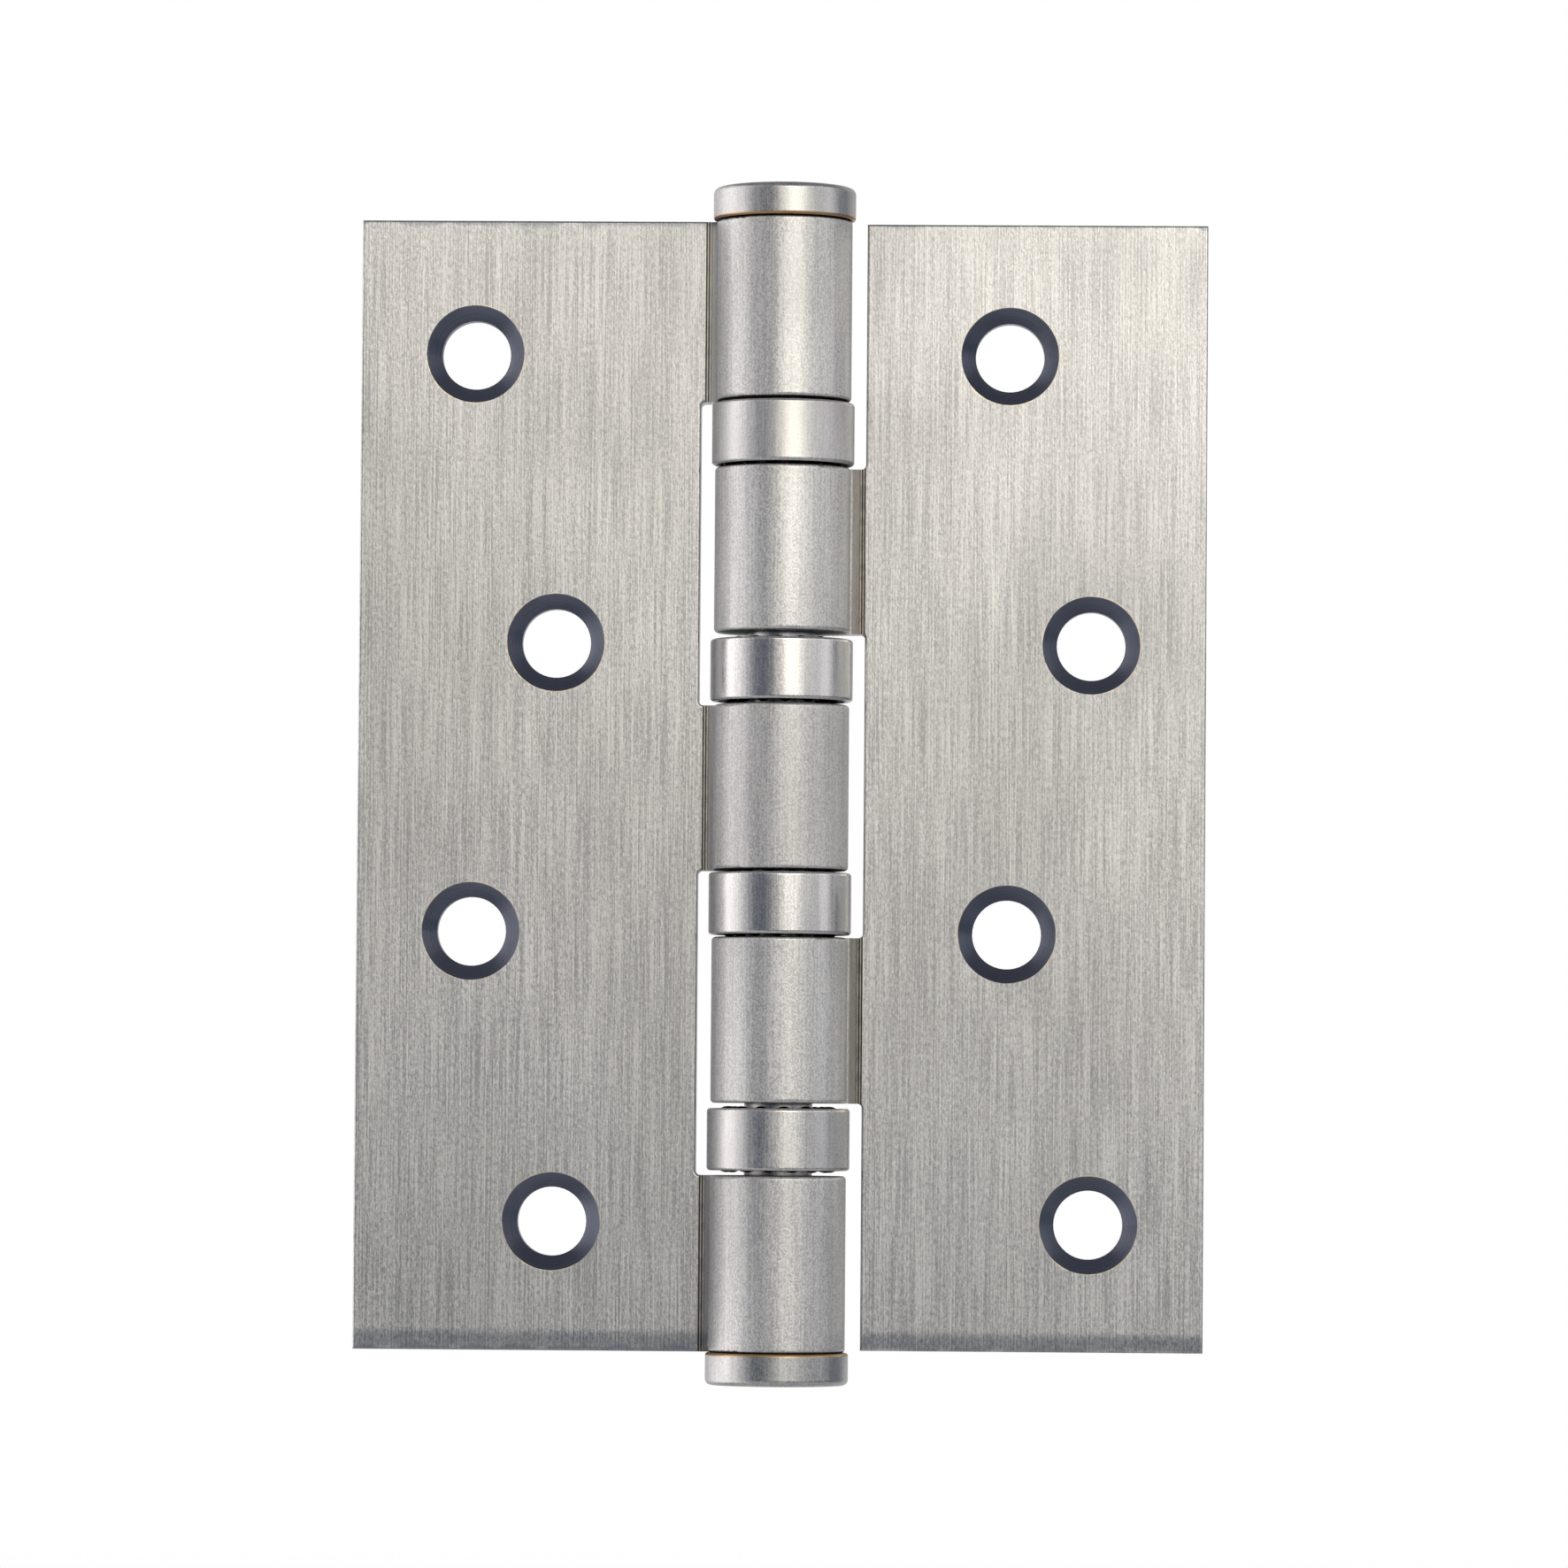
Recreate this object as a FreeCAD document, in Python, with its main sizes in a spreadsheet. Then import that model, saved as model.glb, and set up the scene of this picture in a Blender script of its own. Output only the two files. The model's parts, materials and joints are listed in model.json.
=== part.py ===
import FreeCAD, Part
import math
import os
import Sketcher

# A four-inch butt hinge with four ball bearings, lying open and flat, in millimetres.
# +Z runs up the pin, the countersunk faces look along -Y, the left leaf lies along -X and the right leaf
# along +X.  The origin is on the pin's axis at mid height.

DRIVING_SIZES = {
    # the two leaves
    "leaf_height": 101.6,            # left leaf, end to end: four inches
    "right_leaf_height": 101.25,     # the right blank is sheared a little shorter
    "leaf_reach": 38.1,              # axis to outer edge: half of three inches
    "leaf_thickness": 3.0,
    "closed_gap": 1.5,               # between the leaves' faces when the hinge is shut
    "edge_rounding": 0.2,            # rolled edge that the blanking die leaves
    "notch_clearance": 1.35,         # knuckle to the edge of the notch that it turns in
    "notch_corner": 0.4,
    "punching_drop": 0.25,           # notches and holes sit this much under the middle of the blank
    # the rolled knuckles
    "end_knuckle_extra": 1.19,       # how much longer the two end knuckles are than the inner ones
    "knuckle_rounding": 0.35,
    "bend_radius": 1.5,              # inside of the bend that sets the knuckle back
    "curl_gap": 0.15,                # free end of the curl to the leaf's face
    "relief_depth": 0.25,            # strip coined beside the knuckle, under the leaf's face
    "left_relief_inset": 0.35,       # notch edge to the coined strip
    "right_relief_inset": 0.0,
    "ridge_width": 0.1,
    "ridge_rise": 0.15,
    "ridge_spacing": 0.24,
    # the screw holes
    "hole_diameter": 6.2,
    "countersink_diameter": 8.8,
    "countersink_angle": 82.0,
    "end_hole_inset": 11.8,          # leaf's end to the first hole's centre
    "outer_hole_inset": 10.3,        # leaf's outer edge to the outer holes' centres
    "hole_stagger": 7.45,
    # the pin, its head and the plug that closes the lower end
    "pin_diameter": 6.1,
    "pin_clearance": 0.05,
    "tip_overhang": 0.3,             # past the knuckle all round
    "tip_height": 2.9,
    "tip_crown_rounding": 0.55,
    "tip_rim_rounding": 0.25,
    "plug_stem": 6.0,
    "plug_end_gap": 0.5,
    "lead_chamfer": 0.4,
    # the ball bearings
    "ball_diameter": 2.0,
    "ball_clearance": 0.02,          # to the faces that a ball rolls between
    "ball_side_clearance": 0.075,    # to the collar and to the shell
    "ball_gap": 0.06,                # least gap between neighbours in a row
    "web_height": 1.9,
    "collar_wall": 0.45,
    "collar_end_gap": 0.44,          # collar to the knuckle
    "shell_wall": 0.7,
    "shell_end_gap": 0.205,          # shell to the knuckle, where the stack has no play
    "shell_rounding": 0.3,
    "bearing_two_lift": 0.1,         # how far the loose bearings float above the knuckle under them
    "bearing_four_lift": 0.25,
}
ROW_TURN = 9.0                       # degrees from one ball row's rest to the next
SHEET = "Sizes"
PAST = 1.0                           # how far a cut runs past the metal
TINY = 1e-6


class Size:
    """A length as a number and as the expression that ties it to the sheet."""

    def __init__(self, number, text):
        self.number = number
        self.text = text

    def __add__(self, other):
        other = as_size(other)
        return Size(self.number + other.number, f"({self.text} + {other.text})")

    def __sub__(self, other):
        other = as_size(other)
        return Size(self.number - other.number, f"({self.text} - {other.text})")

    def __mul__(self, other):
        other = as_size(other)
        return Size(self.number * other.number, f"({self.text} * {other.text})")

    def __truediv__(self, other):
        other = as_size(other)
        return Size(self.number / other.number, f"({self.text} / {other.text})")

    def __neg__(self):
        return Size(-self.number, f"(0 - {self.text})")


def as_size(value):
    return value if isinstance(value, Size) else Size(float(value), str(value))


def root(size):
    return Size(math.sqrt(size.number), f"sqrt({size.text})")


def driving(name):
    return Size(DRIVING_SIZES[name], f"{SHEET}.{name}")


doc = FreeCAD.newDocument("door_hinge")
sheet = doc.addObject("Spreadsheet::Sheet", SHEET)
for row, (name, number) in enumerate(DRIVING_SIZES.items(), start=1):
    sheet.set(f"A{row}", name)
    sheet.set(f"B{row}", str(number))
    sheet.setAlias(f"B{row}", name)
doc.recompute()

# ---- sizes worked out from the driving ones ----
thickness = driving("leaf_thickness")
front_face = driving("closed_gap") / 2
back_face = front_face + thickness
pin_radius = driving("pin_diameter") / 2
bore_radius = pin_radius + driving("pin_clearance")
knuckle_radius = bore_radius + thickness
notch_edge = knuckle_radius + driving("notch_clearance")

# the bend: an arc about (bend_x, bend_y) that leaves the flat leaf and meets the knuckle tangentially
bend_back_radius = driving("bend_radius")
bend_front_radius = bend_back_radius + thickness
bend_y = back_face + bend_back_radius
bend_to_axis = knuckle_radius + bend_back_radius
bend_x = root(bend_to_axis * bend_to_axis - bend_y * bend_y)
bend_meets_knuckle_x = bend_x * knuckle_radius / bend_to_axis
bend_meets_bore_x = bend_x * bore_radius / bend_to_axis

# the bearings: ball rows between a collar round the pin and a shell, above and below a web
collar_radius = bore_radius + driving("collar_wall")
ball_diameter = driving("ball_diameter")
shell_bore = collar_radius + ball_diameter + driving("ball_side_clearance") * 2
shell_radius = shell_bore + driving("shell_wall")
ball_circle = (shell_bore + collar_radius) / 2
ball_clearance = driving("ball_clearance")
ball_level = driving("web_height") / 2 + ball_clearance + ball_diameter / 2
half_stack = ball_level + ball_diameter / 2 + ball_clearance
balls_in_a_row = int(2 * math.pi * ball_circle.number / (ball_diameter + driving("ball_gap")).number)

# knuckle levels about the middle of the hinge: a slot holds a stack and the drop of the left leaf's notches
drop = driving("punching_drop")
slot_height = half_stack * 2 + drop
end_extra = driving("end_knuckle_extra")
half_height = driving("leaf_height") / 2
inner_knuckle = (half_height * 2 - slot_height * 4 - end_extra * 2) / 5
middle_top = inner_knuckle / 2
moving_low = middle_top + slot_height
moving_high = moving_low + inner_knuckle
end_low = moving_high + slot_height

# the screw holes and the tips
hole_pitch = (half_height - driving("end_hole_inset")) * 2 / 3
outer_hole_line = driving("leaf_reach") - driving("outer_hole_inset")
inner_hole_line = outer_hole_line - driving("hole_stagger")
tip_radius = knuckle_radius + driving("tip_overhang")


# ---- small tools for bodies and sketches ----
def origin_part(body, role):
    return next(item for item in body.Origin.OriginFeatures if item.Role == role)


def new_body(label, level=None, turn=None):
    body = doc.addObject("PartDesign::Body", label)
    body.Label = label
    body.AllowCompound = True
    if turn is not None:
        body.Placement = FreeCAD.Placement(FreeCAD.Vector(), turn)
    if level is not None:
        body.setExpression("Placement.Base.z", level.text)
    return body


def new_sketch(body, name, plane, offset=None):
    sketch = body.newObject("Sketcher::SketchObject", name)
    sketch.AttachmentSupport = [(origin_part(body, plane), "")]
    sketch.MapMode = "FlatFace"
    if offset is not None:
        sketch.AttachmentOffset = FreeCAD.Placement(FreeCAD.Vector(0, 0, offset.number), FreeCAD.Rotation())
        sketch.setExpression("AttachmentOffset.Base.z", offset.text)
    return sketch


def limit(sketch, name, kind, *where_and_size):
    """Adds a dimension and ties it to the sheet."""
    *where, size = where_and_size
    index = sketch.addConstraint(Sketcher.Constraint(kind, *where, size.number))
    sketch.renameConstraint(index, name)
    sketch.setExpression(f"Constraints.{name}", size.text)


def place(sketch, name, geometry, end, across=None, up=None):
    """Holds a point at a distance from the sketch's origin."""
    if across is not None:
        limit(sketch, f"{name}_across", "DistanceX", -1, 1, geometry, end, across)
    if up is not None:
        limit(sketch, f"{name}_up", "DistanceY", -1, 1, geometry, end, up)


def vector(across, up):
    return FreeCAD.Vector(across, up, 0)


def line(sketch, start, finish):
    return sketch.addGeometry(Part.LineSegment(vector(*start), vector(*finish)), False)


def arc(sketch, centre, radius, start_degrees, finish_degrees):
    circle = Part.Circle(vector(*centre), FreeCAD.Vector(0, 0, 1), radius)
    span = Part.ArcOfCircle(circle, math.radians(start_degrees), math.radians(finish_degrees))
    return sketch.addGeometry(span, False)


def tie(sketch, kind, *where):
    sketch.addConstraint(Sketcher.Constraint(kind, *where))


def add_rectangle(sketch, name, left, right, low, high):
    x0, x1, y0, y1 = left.number, right.number, low.number, high.number
    corners = [(x0, y0), (x1, y0), (x1, y1), (x0, y1)]
    sides = [line(sketch, corners[i], corners[(i + 1) % 4]) for i in range(4)]
    for i in range(4):
        tie(sketch, "Coincident", sides[i], 2, sides[(i + 1) % 4], 1)
        tie(sketch, "Horizontal" if i % 2 == 0 else "Vertical", sides[i])
    place(sketch, f"{name}_low_left", sides[0], 1, left, low)
    place(sketch, f"{name}_high_right", sides[1], 2, right, high)


def add_rounded_rectangle(sketch, name, left, right, low, high, low_round, high_round):
    """A rectangle whose two right-hand corners are rounded, each by its own radius."""
    x0, x1, y0, y1 = left.number, right.number, low.number, high.number
    a, b = low_round.number, high_round.number
    bottom = line(sketch, (x0, y0), (x1 - a, y0))
    low_corner = arc(sketch, (x1 - a, y0 + a), a, -90, 0)
    side = line(sketch, (x1, y0 + a), (x1, y1 - b))
    high_corner = arc(sketch, (x1 - b, y1 - b), b, 0, 90)
    top = line(sketch, (x1 - b, y1), (x0, y1))
    back = line(sketch, (x0, y1), (x0, y0))
    for first, second in ((bottom, low_corner), (low_corner, side), (side, high_corner), (high_corner, top)):
        tie(sketch, "Tangent", first, 2, second, 1)
    tie(sketch, "Coincident", top, 2, back, 1)
    tie(sketch, "Coincident", back, 2, bottom, 1)
    tie(sketch, "Horizontal", bottom)
    tie(sketch, "Vertical", side)
    tie(sketch, "Horizontal", top)
    tie(sketch, "Vertical", back)
    limit(sketch, f"{name}_low_round", "Radius", low_corner, low_round)
    limit(sketch, f"{name}_high_round", "Radius", high_corner, high_round)
    place(sketch, f"{name}_low_left", bottom, 1, left, low)
    place(sketch, f"{name}_right", side, 1, right)
    place(sketch, f"{name}_top", top, 2, None, high)


def pad(body, name, sketch, length, reverse=False):
    feature = body.newObject("PartDesign::Pad", name)
    feature.Profile = sketch
    feature.Reversed = reverse
    feature.setExpression("Length", length.text)
    return settle(body, feature)


def pocket(body, name, sketch, depth=None, midplane=False):
    feature = body.newObject("PartDesign::Pocket", name)
    feature.Profile = sketch
    feature.Midplane = midplane
    if depth is None:
        feature.Type = "ThroughAll"
    else:
        feature.setExpression("Length", depth.text)
    before = body.Shape.Volume
    settle(body, feature)
    if not feature.Shape.Volume < before:
        raise RuntimeError(f"{name} removed nothing from {body.Label}")
    return feature


def revolve(body, name, sketch):
    feature = body.newObject("PartDesign::Revolution", name)
    feature.Profile = sketch
    feature.ReferenceAxis = (sketch, ["V_Axis"])
    feature.Angle = 360
    return settle(body, feature)


def settle(body, feature):
    body.Tip = feature
    doc.recompute()
    return feature


# ---- the leaves: one tool makes both blanks, and the left leaf is the same blank turned end for end ----
def edges_to_round(shape):
    """The outline of both faces, apart from where the plate runs on into the bend."""
    names = []
    for number, edge in enumerate(shape.Edges, start=1):
        box = edge.BoundBox
        faces = (front_face.number, back_face.number)
        on_a_face = box.YLength < TINY and any(abs(box.YMin - face) < TINY for face in faces)
        at_the_bend = box.XLength < TINY and abs(box.XMin - bend_x.number) < TINY
        if on_a_face and not at_the_bend:
            names.append(f"Edge{number}")
    return names


def build_plate(body, height, notches):
    outline = new_sketch(body, "plate_outline", "XZ_Plane", -front_face)
    add_rectangle(outline, "plate", bend_x, driving("leaf_reach"), -height / 2, height / 2)
    pad(body, "plate", outline, thickness, reverse=True)
    for number, (low, high) in enumerate(notches, start=1):
        cut = new_sketch(body, f"notch_{number}_outline", "XZ_Plane")
        corner = driving("notch_corner")
        add_rounded_rectangle(cut, "notch", bend_x - PAST, notch_edge, low, high, corner, corner)
        pocket(body, f"notch_{number}", cut, midplane=True)
    blank = body.Tip
    rounding = body.newObject("PartDesign::Fillet", "rolled_edges")
    rounding.Base = (blank, edges_to_round(blank.Shape))
    rounding.setExpression("Radius", driving("edge_rounding").text)
    settle(body, rounding)


def build_neck(body, name, low, high):
    """The bend between the plate and the knuckle's curl."""
    section = new_sketch(body, f"{name}_neck_section", "XY_Plane", low)
    meet = (bend_meets_knuckle_x.number, bend_y.number * knuckle_radius.number / bend_to_axis.number)
    angle = math.degrees(math.atan2(-bend_y.number, -bend_x.number)) % 360
    joint = line(section, (bend_x.number, front_face.number), (bend_x.number, back_face.number))
    hollow = arc(section, (bend_x.number, bend_y.number), bend_back_radius.number, angle, 270)
    chord = line(section, meet, (bend_x.number, front_face.number))
    tie(section, "Coincident", joint, 2, hollow, 2)
    tie(section, "Coincident", hollow, 1, chord, 1)
    tie(section, "Coincident", chord, 2, joint, 1)
    tie(section, "Vertical", joint)
    place(section, "face", joint, 1, bend_x, front_face)
    place(section, "bend", hollow, 3, bend_x, bend_y)
    limit(section, "bend_radius", "Radius", hollow, bend_back_radius)
    place(section, "meets_knuckle", chord, 1, bend_meets_knuckle_x)
    pad(body, f"{name}_neck", section, high - low)


def build_knuckle(body, name, low, high):
    section = new_sketch(body, f"{name}_section", "XZ_Plane")
    rounding = driving("knuckle_rounding")
    add_rounded_rectangle(section, "ring", bore_radius, knuckle_radius, low, high, rounding, rounding)
    revolve(body, name, section)


def open_the_curls(body, reach):
    """Clears the wedge between the free end of each curl and the bend."""
    curl_end = front_face - driving("curl_gap")
    outside = knuckle_radius + PAST / 4
    inside = bore_radius / 2
    angle = math.degrees(math.atan2(-bend_y.number, -bend_x.number)) % 360
    meet_y = bend_y.number * bore_radius.number / bend_to_axis.number
    wedge = new_sketch(body, "curl_wedge_outline", "XY_Plane")
    bend = arc(wedge, (bend_x.number, bend_y.number), bend_front_radius.number, angle, 270)
    face = line(wedge, (bend_x.number, front_face.number), (outside.number, front_face.number))
    mouth = line(wedge, (outside.number, front_face.number), (outside.number, curl_end.number))
    end = line(wedge, (outside.number, curl_end.number), (inside.number, curl_end.number))
    across = line(wedge, (inside.number, curl_end.number), (bend_meets_bore_x.number, meet_y))
    for first, second in ((bend, face), (face, mouth), (mouth, end), (end, across), (across, bend)):
        tie(wedge, "Coincident", first, 2, second, 1)
    tie(wedge, "Horizontal", face)
    tie(wedge, "Vertical", mouth)
    tie(wedge, "Horizontal", end)
    place(wedge, "bend_centre", bend, 3, bend_x, bend_y)
    limit(wedge, "bend_front", "Radius", bend, bend_front_radius)
    place(wedge, "bend_start", face, 1, bend_x)
    place(wedge, "mouth", mouth, 2, outside, curl_end)
    place(wedge, "end", end, 2, inside)
    place(wedge, "meets_bore", across, 2, bend_meets_bore_x)
    pocket(body, "curl_wedge", wedge, reach, midplane=True)


def coin_relief(body, height, inset, spans):
    """The coined strip beside the knuckles, with two fine ridges along its outer side."""
    edge = notch_edge - inset
    depth = driving("relief_depth")
    start = bend_x - root(bend_front_radius * 2 * depth - depth * depth)
    strip = new_sketch(body, "relief_outline", "XZ_Plane", -front_face)
    add_rectangle(strip, "relief", start, edge, -height / 2, height / 2)
    pocket(body, "relief", strip, depth)
    ridge_width = driving("ridge_width")
    for number, (low, high) in enumerate(spans, start=1):
        ridges = new_sketch(body, f"ridge_{number}_outline", "XZ_Plane", -(front_face + depth))
        for line_number in (1, 2):
            right = edge - driving("ridge_spacing") * line_number + ridge_width
            add_rectangle(ridges, f"ridge_{line_number}", right - ridge_width, right, low, high)
        pad(body, f"ridges_{number}", ridges, driving("ridge_rise"))


def drill_holes(body, shift):
    """Four countersunk holes in a zigzag, the top one nearer the pin."""
    lines = (inner_hole_line, outer_hole_line)
    circles = new_sketch(body, "hole_centres", "XZ_Plane", -front_face)
    for number in range(4):
        across = lines[number % 2]
        up = hole_pitch * (1.5 - number) + shift
        centre = vector(across.number, up.number)
        radius = driving("hole_diameter") / 2
        circle = circles.addGeometry(Part.Circle(centre, FreeCAD.Vector(0, 0, 1), radius.number), False)
        place(circles, f"hole_{number + 1}", circle, 3, across, up)
        limit(circles, f"hole_{number + 1}_radius", "Radius", circle, radius)
    doc.recompute()
    before = body.Shape.Volume
    holes = body.newObject("PartDesign::Hole", "screw_holes")
    holes.Profile = circles
    holes.Threaded = False
    holes.DepthType = "ThroughAll"
    holes.HoleCutType = "Countersink"
    holes.HoleCutCustomValues = True
    holes.setExpression("Diameter", driving("hole_diameter").text)
    holes.setExpression("HoleCutDiameter", driving("countersink_diameter").text)
    holes.setExpression("HoleCutCountersinkAngle", driving("countersink_angle").text)
    settle(body, holes)
    if not body.Shape.Volume < before:
        raise RuntimeError(f"the screw holes removed nothing from {body.Label}")


def build_leaf(label, height, spans, notches, inset, hole_shift, turn=None):
    body = new_body(label, turn=turn)
    build_plate(body, height, notches)
    for number, (low, high) in enumerate(spans, start=1):
        build_neck(body, f"knuckle_{number}", low, high)
        build_knuckle(body, f"knuckle_{number}", low, high)
    open_the_curls(body, height + PAST)
    coin_relief(body, height, inset, spans)
    drill_holes(body, hole_shift)
    return body


def build_left_leaf():
    """Three knuckles.  Turned end for end, so here its lower end is the hinge's top."""
    low_end = (-half_height, -end_low + drop)
    middle = (-middle_top + drop, middle_top + drop)
    high_end = (end_low + drop, half_height)
    notches = [(low_end[1], middle[0]), (middle[1], high_end[0])]
    turn = FreeCAD.Rotation(FreeCAD.Vector(0, 1, 0), 180)
    height = driving("leaf_height")
    inset = driving("left_relief_inset")
    return build_leaf("left_leaf", height, [low_end, middle, high_end], notches, inset, drop, turn)


def build_right_leaf():
    """Two knuckles, between the bearings."""
    height = driving("right_leaf_height")
    lower = (-moving_high, -moving_low)
    upper = (moving_low, moving_high)
    past_end = height / 2 + PAST
    notches = [(-past_end, lower[0]), (lower[1], upper[0]), (upper[1], past_end)]
    inset = driving("right_relief_inset")
    return build_leaf("right_leaf", height, [lower, upper], notches, inset, -drop)


# ---- the pin and the plug ----
def build_pin():
    """A headed pin: the head is the hinge's upper tip."""
    body = new_body("hinge_pin")
    head = new_sketch(body, "head_section", "XZ_Plane")
    top = half_height + driving("tip_height")
    rim = driving("tip_rim_rounding")
    crown = driving("tip_crown_rounding")
    add_rounded_rectangle(head, "head", as_size(0), tip_radius, half_height, top, rim, crown)
    revolve(body, "head", head)
    foot = -half_height + driving("plug_stem") + driving("plug_end_gap")
    shank = new_sketch(body, "shank_outline", "XY_Plane", foot)
    circle = shank.addGeometry(Part.Circle(vector(0, 0), FreeCAD.Vector(0, 0, 1), pin_radius.number), False)
    tie(shank, "Coincident", circle, 3, -1, 1)
    limit(shank, "pin_radius", "Radius", circle, pin_radius)
    pad(body, "shank", shank, half_height - foot)
    chamfer_rim(body, foot)
    return body


def build_plug():
    """The lower tip, on a stem pressed into the lowest knuckle."""
    body = new_body("bottom_plug")
    tip = new_sketch(body, "tip_section", "XZ_Plane")
    bottom = -half_height - driving("tip_height")
    crown = driving("tip_crown_rounding")
    rim = driving("tip_rim_rounding")
    add_rounded_rectangle(tip, "tip", as_size(0), tip_radius, bottom, -half_height, crown, rim)
    revolve(body, "tip", tip)
    stem = new_sketch(body, "stem_outline", "XY_Plane", -half_height)
    circle = stem.addGeometry(Part.Circle(vector(0, 0), FreeCAD.Vector(0, 0, 1), bore_radius.number), False)
    tie(stem, "Coincident", circle, 3, -1, 1)
    limit(stem, "stem_radius", "Radius", circle, bore_radius)
    pad(body, "stem", stem, driving("plug_stem"))
    chamfer_rim(body, -half_height + driving("plug_stem"))
    return body


def chamfer_rim(body, level):
    """Breaks the edge of the round end at that level."""
    plain = body.Tip
    rims = []
    for number, edge in enumerate(plain.Shape.Edges, start=1):
        box = edge.BoundBox
        if box.ZLength < TINY and abs(box.ZMin - level.number) < TINY:
            rims.append(f"Edge{number}")
    chamfer = body.newObject("PartDesign::Chamfer", "lead_chamfer")
    chamfer.Base = (plain, rims)
    chamfer.setExpression("Size", driving("lead_chamfer").text)
    settle(body, chamfer)


# ---- the bearings ----
def build_shell(label, level):
    body = new_body(label, level)
    section = new_sketch(body, "shell_section", "XZ_Plane")
    half = half_stack - driving("shell_end_gap")
    rounding = driving("shell_rounding")
    add_rounded_rectangle(section, "wall", shell_bore, shell_radius, -half, half, rounding, rounding)
    revolve(body, "shell", section)
    return body


def build_race(label, level):
    """A web that carries both ball rows, on a collar round the pin."""
    body = new_body(label, level)
    collar = new_sketch(body, "collar_section", "XZ_Plane")
    half_collar = half_stack - driving("collar_end_gap")
    half_web = driving("web_height") / 2
    add_rectangle(collar, "collar", bore_radius, collar_radius, -half_collar, half_collar)
    revolve(body, "collar", collar)
    web = new_sketch(body, "web_section", "XZ_Plane")
    add_rectangle(web, "web", bore_radius, shell_bore, -half_web, half_web)
    revolve(body, "web", web)
    return body


def build_ball_row(label, level, turn):
    body = new_body(label, level, FreeCAD.Rotation(FreeCAD.Vector(0, 0, 1), turn))
    ball = body.newObject("PartDesign::AdditiveSphere", "ball")
    ball.setExpression("Radius", (ball_diameter / 2).text)
    ball.setExpression("Placement.Base.x", ball_circle.text)
    settle(body, ball)
    ring = body.newObject("PartDesign::PolarPattern", "ball_ring")
    ring.Originals = [ball]
    ring.Axis = (origin_part(body, "Z_Axis"), [""])
    ring.Angle = 360
    ring.Occurrences = balls_in_a_row
    settle(body, ring)
    return body


def build_bearings():
    """Bearing 1 is the top one.  Bearings 1 and 3 fill their slots, and 2 and 4 float in looser ones."""
    levels = {
        1: moving_high + half_stack,
        2: middle_top - drop + half_stack + driving("bearing_two_lift"),
        3: -moving_low + half_stack,
        4: -end_low - drop + half_stack + driving("bearing_four_lift"),
    }
    bodies = []
    for number, level in levels.items():
        name = f"bearing_{number}"
        bodies.append(build_shell(f"{name}_shell", level))
        bodies.append(build_race(f"{name}_race", level))
        turn = ROW_TURN * 2 * number
        bodies.append(build_ball_row(f"{name}_upper_balls", level + ball_level, turn))
        bodies.append(build_ball_row(f"{name}_lower_balls", level - ball_level, turn + ROW_TURN))
    return bodies


def check_document():
    failed = [item.Name for item in doc.Objects if {"Invalid", "Error"} & set(item.State)]
    if failed:
        raise RuntimeError(f"these objects did not compute: {failed}")


def check_shape(body):
    shape = body.Shape
    if shape.isNull() or not shape.isValid() or not shape.Solids:
        raise RuntimeError(f"{body.Label} has no valid solid")


def export(bodies):
    os.makedirs("parts", exist_ok=True)
    for body in bodies:
        body.Shape.exportStep(f"parts/{body.Label}.step")
        solids = len(body.Shape.Solids)
        print(f"{body.Label}: {solids} solid(s), {body.Shape.Volume:.1f} mm3")


parts = [build_left_leaf(), build_right_leaf(), build_pin(), build_plug()] + build_bearings()
doc.recompute()
check_document()
for part in parts:
    check_shape(part)
export(parts)
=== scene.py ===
import json
import math
import bpy
from mathutils import Matrix, Vector


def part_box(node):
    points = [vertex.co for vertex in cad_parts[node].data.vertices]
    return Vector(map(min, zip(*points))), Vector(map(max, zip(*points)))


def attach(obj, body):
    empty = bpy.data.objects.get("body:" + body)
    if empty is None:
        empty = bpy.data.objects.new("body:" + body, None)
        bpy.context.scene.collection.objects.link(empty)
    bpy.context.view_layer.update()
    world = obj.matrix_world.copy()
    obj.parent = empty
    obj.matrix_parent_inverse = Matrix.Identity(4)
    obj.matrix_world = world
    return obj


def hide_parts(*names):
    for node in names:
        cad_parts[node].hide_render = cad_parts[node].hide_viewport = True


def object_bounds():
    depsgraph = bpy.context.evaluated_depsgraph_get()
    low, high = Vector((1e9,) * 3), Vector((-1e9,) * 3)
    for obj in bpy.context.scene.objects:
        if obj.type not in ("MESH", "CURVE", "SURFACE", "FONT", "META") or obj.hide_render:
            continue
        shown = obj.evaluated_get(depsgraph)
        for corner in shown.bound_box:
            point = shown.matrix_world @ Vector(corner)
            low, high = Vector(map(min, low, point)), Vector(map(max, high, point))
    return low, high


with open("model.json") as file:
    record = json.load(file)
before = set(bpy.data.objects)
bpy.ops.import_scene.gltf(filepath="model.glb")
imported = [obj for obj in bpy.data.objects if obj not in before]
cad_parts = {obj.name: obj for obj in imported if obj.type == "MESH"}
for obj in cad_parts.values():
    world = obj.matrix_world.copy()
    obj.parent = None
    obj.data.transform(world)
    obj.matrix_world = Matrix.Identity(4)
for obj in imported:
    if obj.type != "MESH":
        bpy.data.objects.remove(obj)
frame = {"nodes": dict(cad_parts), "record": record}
cad_low, cad_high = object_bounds()

# A ball bearing butt hinge in brushed stainless steel, in metres, in the frame of the CAD model:
# +Z runs up the pin, the countersunk faces look along -Y, the left leaf lies along -X.
MM = 0.001
BEARINGS = (1, 2, 3, 4)
ROWS = ("upper", "lower")
LEAVES = ("left_leaf", "right_leaf")


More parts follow.
